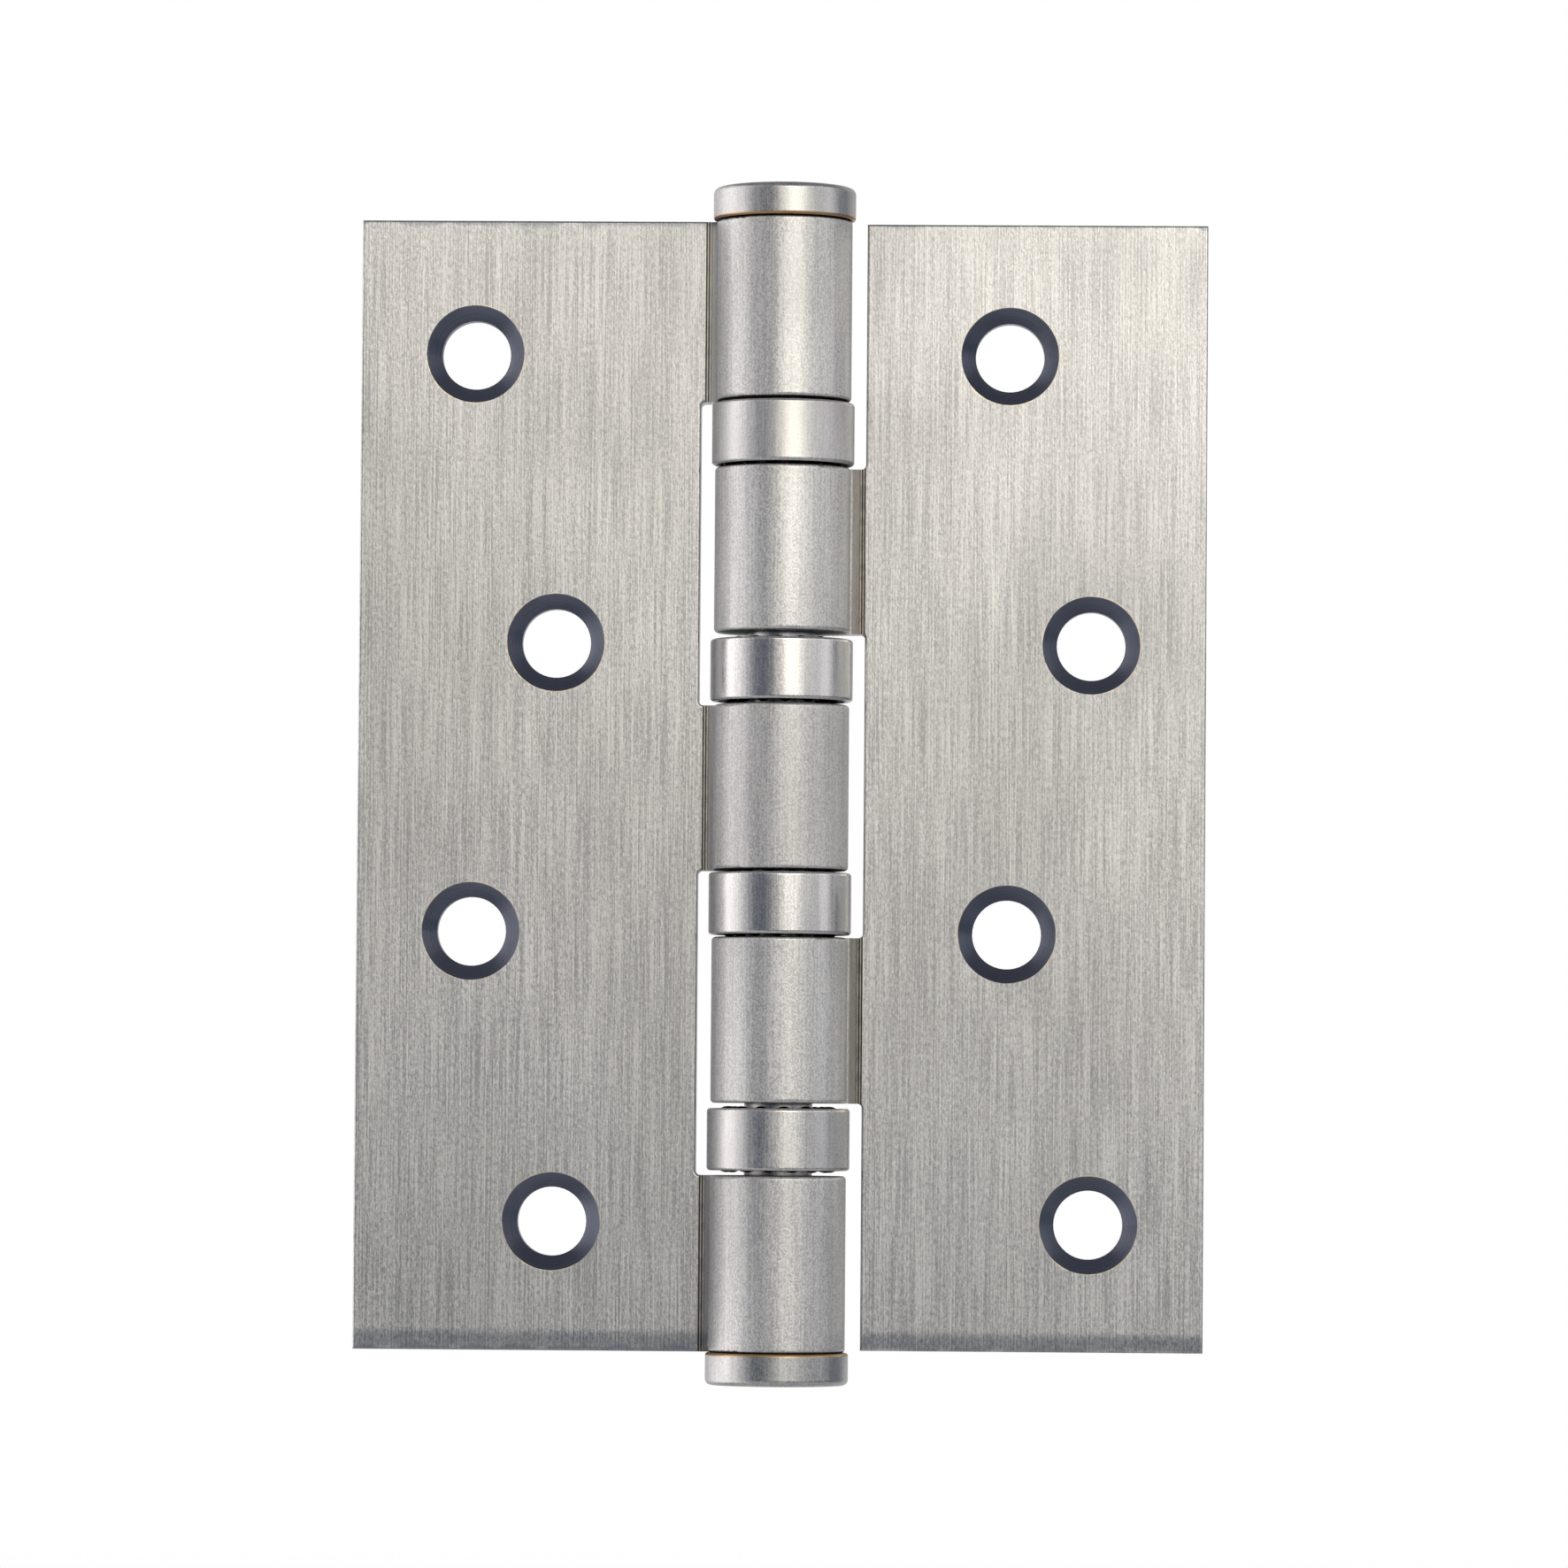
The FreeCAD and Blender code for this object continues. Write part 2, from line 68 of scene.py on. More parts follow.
# ---- sizes that the finishes follow ----
LEAF_THICKNESS = 3.0 * MM
COUNTERSINK_RADIUS = 4.4 * MM
TIP_HEIGHT = 2.9 * MM
COIN_DEPTH = 0.25 * MM               # the coined strip beside the knuckles, under the leaf's face
COIN_EDGE = 7.5 * MM                 # the strip's outer edge from the pin's axis


def mount_place(name):
    return next(mount["pos_m"] for mount in frame["record"]["mounts"] if mount["name"] == name)


knuckle_radius = -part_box("right_leaf")[0].x
leaf_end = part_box("left_leaf")[1].z
leaf_back = mount_place("left_leaf_back")[1]
leaf_front = leaf_back - LEAF_THICKNESS
tip_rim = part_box("hinge_pin")[1].z - TIP_HEIGHT


def screw_hole_centres():
    """Centres of the eight screw holes, from the bolt patterns of the record's mounts."""
    centres = []
    for mount in frame["record"]["mounts"]:
        if mount["kind"] != "bolt_pattern":
            continue
        x, _, z = mount["pos_m"]
        half = mount["dims"]["spacing_y_mm"] * MM / 2
        centres += [(x, 0.0, z - half), (x, 0.0, z + half)]
    return centres


# ---- wiring of node trees ----
class Wiring:
    """Adds nodes to a tree and joins them; a value may be a number or another node's socket."""

    def __init__(self, tree):
        self.tree = tree

    def node(self, kind, **settings):
        made = self.tree.nodes.new(kind)
        for name, value in settings.items():
            setattr(made, name, value)
        return made

    def feed(self, socket, value):
        if isinstance(value, bpy.types.NodeSocket):
            self.tree.links.new(value, socket)
        else:
            socket.default_value = value

    def math(self, operation, *values):
        made = self.node("ShaderNodeMath", operation=operation)
        for socket, value in zip(made.inputs, values):
            self.feed(socket, value)
        return made.outputs[0]

    def times(self, first, *others):
        for other in others:
            first = self.math("MULTIPLY", first, other)
        return first

    def parts(self, place):
        """The X, Y and Z of a place or a direction."""
        split = self.node("ShaderNodeSeparateXYZ")
        self.feed(split.inputs[0], place)
        return split.outputs

    def vector(self, operation, *values):
        made = self.node("ShaderNodeVectorMath", operation=operation)
        for socket, value in zip(made.inputs, values):
            self.feed(socket, value)
        gives_number = operation in ("DISTANCE", "LENGTH", "DOT_PRODUCT")
        return made.outputs["Value" if gives_number else "Vector"]

    def ramp(self, value, low, high, to_low=0.0, to_high=1.0):
        """Runs smoothly from to_low, at low, to to_high, at high."""
        made = self.node("ShaderNodeMapRange", interpolation_type="SMOOTHSTEP")
        for name, number in zip(("Value", "From Min", "From Max", "To Min", "To Max"),
                                (value, low, high, to_low, to_high)):
            self.feed(made.inputs[name], number)
        return made.outputs["Result"]

    def blend(self, share, first, second, kind="MIX"):
        made = self.node("ShaderNodeMix", data_type="RGBA", blend_type=kind, clamp_factor=True)
        for socket, value in zip((made.inputs[0], made.inputs[6], made.inputs[7]), (share, first, second)):
            self.feed(socket, value)
        return made.outputs[2]

    def blend_numbers(self, share, first, second):
        made = self.node("ShaderNodeMix", data_type="FLOAT", clamp_factor=True)
        for socket, value in zip((made.inputs[0], made.inputs[2], made.inputs[3]), (share, first, second)):
            self.feed(socket, value)
        return made.outputs[0]

    def noise(self, place, detail=2.0):
        made = self.node("ShaderNodeTexNoise", noise_dimensions="3D")
        self.feed(made.inputs["Vector"], place)
        made.inputs["Scale"].default_value = 1.0
        made.inputs["Detail"].default_value = detail
        return made.outputs["Fac"]

    def spotted(self, place, size, low, high, to_low=0.0, to_high=1.0):
        """A mask of soft spots of one size."""
        return self.ramp(self.noise(stretched(self, place, size, size)), low, high, to_low, to_high)

    def use(self, group, **values):
        """Places a shared effect; an input named "Grain Width" is given as grain_width."""
        made = self.node("ShaderNodeGroup", node_tree=group)
        for name, value in values.items():
            self.feed(made.inputs[name.replace("_", " ").title()], value)
        return made.outputs


def new_effect(name, inputs, outputs):
    """A shader group with number inputs, given with their usual values, and number outputs."""
    group = bpy.data.node_groups.new(name, "ShaderNodeTree")
    for title, value in inputs.items():
        socket = group.interface.new_socket(title, in_out="INPUT", socket_type="NodeSocketFloat")
        socket.default_value = value
    for title in outputs:
        group.interface.new_socket(title, in_out="OUTPUT", socket_type="NodeSocketFloat")
    wiring = Wiring(group)
    entry = wiring.node("NodeGroupInput").outputs
    exit_node = wiring.node("NodeGroupOutput").inputs
    return group, wiring, entry, exit_node


def object_place(wiring):
    return wiring.node("ShaderNodeTexCoord").outputs["Object"]


def stretched(wiring, place, across, along):
    """Coordinates that count one unit per grain across, in X and Y, and one per grain along Z."""
    per_across = wiring.math("DIVIDE", 1.0, across)
    per_along = wiring.math("DIVIDE", 1.0, along)
    scale = wiring.node("ShaderNodeCombineXYZ")
    for socket, value in zip(scale.inputs, (per_across, per_across, per_along)):
        wiring.feed(socket, value)
    return wiring.vector("MULTIPLY", place, scale.outputs[0])


# ---- the shared effects ----
HAIRLINE_SHARE = 0.55                # of the lines, and the rest are short dashes
SPECKLE_STRETCH = 1.4
STREAK_WIDTH, STREAK_LENGTH = 6.0, 3.0   # in grain widths and hairline lengths
STREAK_SHARE = 0.15
PATCH_STRETCH = 1.8
WEAR_SPOT = 1.2 * MM
LINE_SPOT = 3 * MM


def brushed_grain():
    """Short dashes and long hairlines that run up the hinge, broad streaks, and a satin speckle."""
    group, wiring, given, result = new_effect(
        "brushed_grain",
        {"Grain Width": 0.15 * MM, "Dash Length": 0.5 * MM, "Hairline Length": 10 * MM,
         "Speckle Size": 0.14 * MM, "Speckle Share": 0.25},
        ["Height", "Tone"])
    place = object_place(wiring)
    width, length = given["Grain Width"], given["Hairline Length"]
    dashes = wiring.noise(stretched(wiring, place, width, given["Dash Length"]), detail=1.0)
    hairlines = wiring.noise(stretched(wiring, place, width, length), detail=1.0)
    lines = wiring.blend_numbers(HAIRLINE_SHARE, dashes, hairlines)
    size = given["Speckle Size"]
    speckle = wiring.noise(stretched(wiring, place, size, wiring.times(size, SPECKLE_STRETCH)), detail=1.0)
    grain = wiring.blend_numbers(given["Speckle Share"], lines, speckle)
    wiring.feed(result["Height"], grain)
    wide, long = wiring.times(width, STREAK_WIDTH), wiring.times(length, STREAK_LENGTH)
    streaks = wiring.noise(stretched(wiring, place, wide, long))
    wiring.feed(result["Tone"], wiring.blend_numbers(STREAK_SHARE, grain, streaks))
    return group


def handling_marks():
    """Broad soft patches where the polish is a little duller."""
    group, wiring, given, result = new_effect("handling_marks", {"Patch Size": 14 * MM}, ["Patches"])
    place = object_place(wiring)
    size = given["Patch Size"]
    patches = wiring.noise(stretched(wiring, place, size, wiring.times(size, PATCH_STRETCH)), detail=3.0)
    wiring.feed(result["Patches"], wiring.ramp(patches, 0.35, 0.65))
    return group


def turning_marks():
    """Uneven rings that a cutter leaves, from the distance to its axis."""
    group, wiring, given, result = new_effect(
        "turning_marks", {"Distance": 0.0, "Ring Spacing": 0.1 * MM}, ["Height"])
    rings = wiring.node("ShaderNodeTexNoise", noise_dimensions="1D")
    rings.inputs["Scale"].default_value = 1.0
    rings.inputs["Detail"].default_value = 2.0
    wiring.feed(rings.inputs["W"], wiring.math("DIVIDE", given["Distance"], given["Ring Spacing"]))
    wiring.feed(result["Height"], rings.outputs["Fac"])
    return group


def worn_edges():
    """A mask along sharp edges, broken up as rubbing leaves it."""
    group, wiring, given, result = new_effect("worn_edges", {"Wear Width": 0.12 * MM}, ["Wear"])
    rounded = wiring.node("ShaderNodeBevel", samples=4)
    wiring.feed(rounded.inputs["Radius"], given["Wear Width"])
    normal = wiring.node("ShaderNodeNewGeometry").outputs["Normal"]
    agreement = wiring.vector("DOT_PRODUCT", rounded.outputs["Normal"], normal)
    edge = wiring.ramp(agreement, 0.995, 0.86)
    patchy = wiring.noise(stretched(wiring, object_place(wiring), WEAR_SPOT, WEAR_SPOT), detail=3.0)
    wiring.feed(result["Wear"], wiring.times(edge, wiring.ramp(patchy, 0.3, 0.6)))
    return group


def grime_in_corners():
    """A mask from ambient occlusion in narrow corners and gaps, for painted shade."""
    group, wiring, given, result = new_effect("grime_in_corners", {"Corner Width": 0.45 * MM}, ["Grime"])
    opening = wiring.node("ShaderNodeAmbientOcclusion", samples=8)
    wiring.feed(opening.inputs["Distance"], given["Corner Width"])
    wiring.feed(result["Grime"], wiring.ramp(opening.outputs["AO"], 0.88, 0.45))
    return group


def polished_ends():
    """How far the belt has rounded the lower end off, and a mask of a dark line of painted shade along both
    ends.
    """
    group, wiring, given, result = new_effect(
        "polished_ends", {"End": 50 * MM, "Reach": 2.0 * MM, "Line Width": 0.3 * MM}, ["Height", "Line"])
    place = object_place(wiring)
    up = wiring.parts(place)["Z"]
    start = wiring.math("SUBTRACT", given["End"], given["Reach"])
    past = wiring.math("MAXIMUM", wiring.math("SUBTRACT", wiring.times(up, -1.0), start), 0.0)
    share = wiring.math("DIVIDE", past, given["Reach"])
    wiring.feed(result["Height"], wiring.times(share, share, -1.0))
    from_end = wiring.math("SUBTRACT", given["End"], wiring.math("ABSOLUTE", up))
    width = wiring.times(given["Line Width"], wiring.spotted(place, LINE_SPOT, 0.3, 0.7, 0.6, 3.0))
    wiring.feed(result["Line"], wiring.ramp(wiring.math("DIVIDE", from_end, width), 1.0, 0.2))
    return group


def nearest_screw_hole():
    """Distance to the axis of the nearest screw hole."""
    group, wiring, given, result = new_effect("nearest_screw_hole", {}, ["Distance"])
    flat = wiring.vector("MULTIPLY", object_place(wiring), (1.0, 0.0, 1.0))
    nearest = 1.0
    for centre in screw_hole_centres():
        nearest = wiring.math("MINIMUM", nearest, wiring.vector("DISTANCE", flat, centre))
    wiring.feed(result["Distance"], nearest)
    return group


grain_effect = brushed_grain()
marks_effect = handling_marks()
turning_effect = turning_marks()
wear_effect = worn_edges()
corner_shade_effect = grime_in_corners()
ends_effect = polished_ends()
hole_effect = nearest_screw_hole()


# ---- the finishes ----
def new_metal(name, spread_sideways):
    """Upright grain spreads the light sideways, by a share from 0 to 1."""
    material = bpy.data.materials.new(name)
    material.use_nodes = True
    material.node_tree.nodes.clear()
    wiring = Wiring(material.node_tree)
    shader = wiring.node("ShaderNodeBsdfPrincipled")
    shader.inputs["Metallic"].default_value = 1.0
    shader.inputs["Anisotropic"].default_value = spread_sideways
    surface = wiring.node("ShaderNodeOutputMaterial")
    wiring.feed(surface.inputs["Surface"], shader.outputs["BSDF"])
    return material, wiring, shader.inputs


def bump(wiring, height, depth, under=None):
    """Raises the surface by up to depth, in metres, on top of an earlier bump."""
    made = wiring.node("ShaderNodeBump")
    made.inputs["Strength"].default_value = 1.0
    made.inputs["Distance"].default_value = depth
    wiring.feed(made.inputs["Height"], height)
    if under is not None:
        wiring.feed(made.inputs["Normal"], under)
    return made.outputs["Normal"]


def shaded(colour, factor):
    return tuple(part * factor for part in colour[:3]) + (1.0,)


def from_axis(wiring):
    """Distance to the pin's axis."""
    flat = wiring.vector("MULTIPLY", object_place(wiring), (1.0, 1.0, 0.0))
    return wiring.vector("LENGTH", flat)


STEEL = (0.695, 0.688, 0.682, 1.0)
SHELL_STEEL = (0.74, 0.728, 0.72, 1.0)
# painted shade: the race is coloured near black so that the bearings' gaps read dark
SHADE_DARK_RACE_STEEL = (0.10, 0.10, 0.11, 1.0)
BALL_STEEL = (0.75, 0.76, 0.79, 1.0)
# bare steel on worn edges, and the painted highlight round the countersinks' rims
BARE_EDGE_AND_RIM_HIGHLIGHT = (0.92, 0.80, 0.62, 1.0)
COUNTERSINK = (0.22, 0.24, 0.30, 1.0)
LEFT_COINED = (0.34, 0.33, 0.33, 1.0)      # the duller strips that the coining die leaves; the right one is darker and browner as painted shade
RIGHT_COINED_IN_SHADE = (0.20, 0.185, 0.17, 1.0)
PAINTED_END_SHADE = (0.20, 0.23, 0.29, 1.0)      # a bluish dark line along the sheared ends, painted shade on their rounded edges
# painted shade, near black, for narrow corners and gaps
PAINTED_SHADE = (0.018, 0.019, 0.024, 1.0)
BRONZED = (0.62, 0.36, 0.13, 1.0)    # heat tint that the grinding leaves along a thin rim
WHITE = (1.0, 1.0, 1.0, 1.0)

GRAIN_TONES = (0.37, 0.63)           # where the grain is at its darkest and at its lightest
DARK_GRAIN, LIGHT_GRAIN = 0.66, 1.28
COOLER, WARMER = 1.02, 0.985         # the blue of dark and of light grain
PLATE_CONTRAST, KNUCKLE_CONTRAST = 0.95, 0.78

# Shares, from 0 to 1, are how far a mark covers the steel under it.  Shades darken or lighten a colour.
PATCH_SHARE, PATCH_SHADE = 0.75, 0.84
TURNED_PATCH_SHARE, TURNED_PATCH_SHADE = 0.3, 0.88
COINED_SHARE = 0.85
END_LINE_SHARE = 0.55
WEAR_SHARE = 0.6
HOLE_RIM_SHARE = 0.8
BRONZED_SHARE = 0.85
# how far the painted shade covers the steel in corners, and the balls in the gaps
CORNER_SHADE_SHARE, DEEP_SHADE_SHARE = 0.9, 0.96
RING_TROUGH, RING_CREST = 0.7, 1.35  # shades of the countersinks' turned rings

COUNTERSINK_RINGS = 0.09 * MM
TURNED_RINGS = 0.08 * MM
RIM_SPOT = 2.5 * MM
TURNED_PATCH_SIZE = 6 * MM
CORNER_WIDTH = 0.45 * MM
DEEP_GAP = 3 * MM                    # how far the painted shade reaches between race, balls and knuckles
END_ROUNDING = 0.17 * MM
LEAF_GRAIN_DEPTH = 0.014 * MM

LEAF_ROUGHNESS = (0.27, 0.34)        # in dark and in light grain
DULLER_PATCH, DULLER_KNUCKLE, DULLER_TURNED_PATCH = 0.04, 0.05, 0.05
COUNTERSINK_ROUGHNESS = 0.29
ROUGHNESS_SPREAD = 0.04              # of turned steel, either way, from grain to grain
SHELL_ROUGHNESS = {1: 0.34, 2: 0.19, 3: 0.20, 4: 0.27}   # the middle two are rubbed brighter
SATIN_METAL = 0.8                    # the blasted knuckles scatter a little light as well


def speckled(wiring, tone, colour, contrast):
    """The colour, from darker and cooler to lighter and warmer with the grain's tone."""
    dark, light = shaded(colour, DARK_GRAIN), shaded(colour, LIGHT_GRAIN)
    cool, warm = (*dark[:2], dark[2] * COOLER, 1.0), (*light[:2], light[2] * WARMER, 1.0)
    full = wiring.blend(wiring.ramp(tone, *GRAIN_TONES), cool, warm)
    return wiring.blend(contrast, colour, full)


def coined_strip(wiring, place, on_plate):
    """A mask of the strip sunk beside the knuckles, and its colour on either leaf, darker and browner on the
    right leaf as painted shade.
    """
    sunk = wiring.math("GREATER_THAN", place["Y"], leaf_front + 0.3 * COIN_DEPTH)
    shallow = wiring.math("LESS_THAN", place["Y"], leaf_front + 2.0 * COIN_DEPTH)
    near = wiring.math("LESS_THAN", wiring.math("ABSOLUTE", place["X"]), COIN_EDGE)
    on_right = wiring.math("GREATER_THAN", place["X"], 0.0)
    return wiring.times(sunk, near, shallow, on_plate), wiring.blend(on_right, LEFT_COINED, RIGHT_COINED_IN_SHADE)


def countersink(wiring, place, hole_distance):
    """Masks of the countersinks, which stop short of the leaf's back, and of a painted highlight along their
    rims, broken into spots.
    """
    before_back = wiring.math("LESS_THAN", wiring.parts(place)["Y"], leaf_back - 0.02 * MM)
    inside = wiring.ramp(hole_distance, COUNTERSINK_RADIUS + 0.03 * MM, COUNTERSINK_RADIUS - 0.01 * MM)
    off_rim = wiring.math("ABSOLUTE", wiring.math("SUBTRACT", hole_distance, COUNTERSINK_RADIUS + 0.02 * MM))
    rim = wiring.ramp(off_rim, 0.08 * MM, 0.03 * MM)
    broken_up = wiring.spotted(place, RIM_SPOT, 0.4, 0.6)
    return wiring.times(inside, before_back), wiring.times(rim, broken_up, before_back)


def leaf_steel():
    """Brushed plate, satin knuckles and dark turned countersinks."""
    material, wiring, shader = new_metal("brushed_leaf_steel", spread_sideways=0.5)
    place = object_place(wiring)
    on_knuckle = wiring.ramp(from_axis(wiring), knuckle_radius + 0.3 * MM, knuckle_radius + 0.1 * MM)
    on_plate = wiring.math("SUBTRACT", 1.0, on_knuckle)

    plate_grain = wiring.use(grain_effect)
    knuckle_grain = wiring.use(grain_effect, speckle_share=0.6)
    height = wiring.blend_numbers(on_knuckle, plate_grain["Height"], knuckle_grain["Height"])
    tone = wiring.blend_numbers(on_knuckle, plate_grain["Tone"], knuckle_grain["Tone"])
    patches = wiring.use(marks_effect)["Patches"]
    contrast = wiring.blend_numbers(on_knuckle, PLATE_CONTRAST, KNUCKLE_CONTRAST)
    clean = speckled(wiring, tone, STEEL, contrast)
    duller = wiring.blend(1.0, clean, shaded(WHITE, PATCH_SHADE), "MULTIPLY")
    steel = wiring.blend(wiring.times(patches, PATCH_SHARE), clean, duller)

    hole_distance = wiring.use(hole_effect)["Distance"]
    in_countersink, hole_rim = countersink(wiring, place, hole_distance)
    rings = wiring.use(turning_effect, distance=hole_distance, ring_spacing=COUNTERSINK_RINGS)["Height"]
    bored = wiring.blend(rings, shaded(COUNTERSINK, RING_TROUGH), shaded(COUNTERSINK, RING_CREST))
    colour = wiring.blend(in_countersink, steel, bored)

    coined, coined_steel_and_shade = coined_strip(wiring, wiring.parts(place), on_plate)
    # the coined strip; its extra darkness on the right leaf is painted shade
    colour = wiring.blend(wiring.times(coined, COINED_SHARE), colour, coined_steel_and_shade)
    ends = wiring.use(ends_effect, end=leaf_end)
    # painted shade: a dark bluish line along the plate's ends
    colour = wiring.blend(wiring.times(ends["Line"], on_plate, END_LINE_SHARE), colour, PAINTED_END_SHADE)
    # bare steel on worn edges, and a painted highlight round the countersinks' rims
    wear = wiring.times(wiring.use(wear_effect)["Wear"], WEAR_SHARE)
    bare_and_highlight = wiring.math("MAXIMUM", wear, wiring.times(hole_rim, HOLE_RIM_SHARE))
    colour = wiring.blend(bare_and_highlight, colour, BARE_EDGE_AND_RIM_HIGHLIGHT)
    # painted shade darkens the colour in narrow corners and gaps
    corner_shade = wiring.use(corner_shade_effect, corner_width=CORNER_WIDTH)["Grime"]
    wiring.feed(shader["Base Color"], wiring.blend(wiring.times(corner_shade, CORNER_SHADE_SHARE), colour, PAINTED_SHADE))

    roughness = wiring.ramp(tone, *GRAIN_TONES, *LEAF_ROUGHNESS)
    roughness = wiring.math("ADD", roughness, wiring.times(patches, DULLER_PATCH))
    roughness = wiring.math("ADD", roughness, wiring.times(on_knuckle, DULLER_KNUCKLE))
    wiring.feed(shader["Roughness"], wiring.blend_numbers(in_countersink, roughness, COUNTERSINK_ROUGHNESS))
    wiring.feed(shader["Metallic"], wiring.blend_numbers(on_knuckle, 1.0, SATIN_METAL))

    rounded = bump(wiring, wiring.times(ends["Height"], on_plate), END_ROUNDING)
    relief = wiring.blend_numbers(in_countersink, height, rings)
    wiring.feed(shader["Normal"], bump(wiring, relief, LEAF_GRAIN_DEPTH, under=rounded))
    return material


def turned_steel(name, colour, roughness, grain_depth, contrast=0.6, rim=None,
                 gap_width=CORNER_WIDTH, gap_shade_share=CORNER_SHADE_SHARE):
    """Turned round the pin's axis, then brushed in place along it.  A rim is the level of a heat tint."""
    material, wiring, shader = new_metal(name, spread_sideways=0.3)
    grain = wiring.use(grain_effect, dash_length=1.0 * MM, speckle_share=0.5)
    rings = wiring.use(turning_effect, distance=from_axis(wiring), ring_spacing=TURNED_RINGS)["Height"]
    facing = wiring.parts(wiring.node("ShaderNodeNewGeometry").outputs["Normal"])
    on_end = wiring.ramp(wiring.math("ABSOLUTE", facing["Z"]), 0.8, 0.95)
    height = wiring.blend_numbers(on_end, grain["Height"], rings)
    tone = wiring.blend_numbers(on_end, grain["Tone"], rings)
    patches = wiring.use(marks_effect, patch_size=TURNED_PATCH_SIZE)["Patches"]
    wear = wiring.use(wear_effect)["Wear"]
    steel = speckled(wiring, tone, colour, contrast)
    steel = wiring.blend(wiring.times(patches, TURNED_PATCH_SHARE), steel, shaded(colour, TURNED_PATCH_SHADE))
    steel = wiring.blend(wiring.times(wear, WEAR_SHARE), steel, BARE_EDGE_AND_RIM_HIGHLIGHT)
    if rim is not None:
        from_middle = wiring.math("ABSOLUTE", wiring.parts(object_place(wiring))["Z"])
        above_rim = wiring.math("SUBTRACT", from_middle, rim)
        outside = wiring.ramp(from_axis(wiring), knuckle_radius - 0.1 * MM, knuckle_radius + 0.1 * MM)
        tint = wiring.times(wiring.ramp(above_rim, 0.32 * MM, 0.16 * MM), outside)
        steel = wiring.blend(wiring.times(tint, BRONZED_SHARE), steel, BRONZED)
    # painted shade darkens the colour in narrow corners and gaps, deeper in the bearings
    corner_shade = wiring.use(corner_shade_effect, corner_width=gap_width)["Grime"]
    wiring.feed(shader["Base Color"], wiring.blend(wiring.times(corner_shade, gap_shade_share), steel, PAINTED_SHADE))
    low, high = roughness - ROUGHNESS_SPREAD, roughness + ROUGHNESS_SPREAD
    grain_roughness = wiring.ramp(tone, *GRAIN_TONES, low, high)
    duller = wiring.times(patches, DULLER_TURNED_PATCH)
    wiring.feed(shader["Roughness"], wiring.math("ADD", grain_roughness, duller))
    wiring.feed(shader["Normal"], bump(wiring, height, grain_depth))
    return material


leaf_material = leaf_steel()
# painted shade: the pin and plug take the leaf's steel a tenth darker, to dim their highlights
pin_material = turned_steel("turned_pin_steel", shaded(STEEL, 0.9), 0.29, 0.008 * MM, rim=tip_rim)
# the race's near-black colour is painted shade in the bearings' gaps
race_material = turned_steel("oiled_race_steel", SHADE_DARK_RACE_STEEL, 0.30, 0.01 * MM, gap_width=DEEP_GAP)
ball_material = turned_steel("polished_ball_steel", BALL_STEEL, 0.10, 0.001 * MM, contrast=0.2,
                             gap_width=DEEP_GAP, gap_shade_share=DEEP_SHADE_SHARE)


def finish_node(node, material):
    node.data.materials.clear()
    node.data.materials.append(material)


nodes = frame["nodes"]
for leaf in LEAVES:
    finish_node(nodes[leaf], leaf_material)
for tip in ("hinge_pin", "bottom_plug"):
    finish_node(nodes[tip], pin_material)
for bearing in BEARINGS:
    shell_material = turned_steel(f"bearing_{bearing}_shell_steel", SHELL_STEEL,
                                  SHELL_ROUGHNESS[bearing], 0.005 * MM)
    finish_node(nodes[f"bearing_{bearing}_shell"], shell_material)
    finish_node(nodes[f"bearing_{bearing}_race"], race_material)
    for row in ROWS:
        finish_node(nodes[f"bearing_{bearing}_{row}_balls"], ball_material)


# ---- the ball rows ----
BALL_GAP = 0.06 * MM                 # least gap between neighbours in a row
BALL_SIDE_CLEARANCE = 0.075 * MM     # to the shell round them
SHELL_WALL = 0.7 * MM
BALL_SUBDIVISIONS = 3
ROW_TURN = 9.0                       # degrees from one row's rest to the next


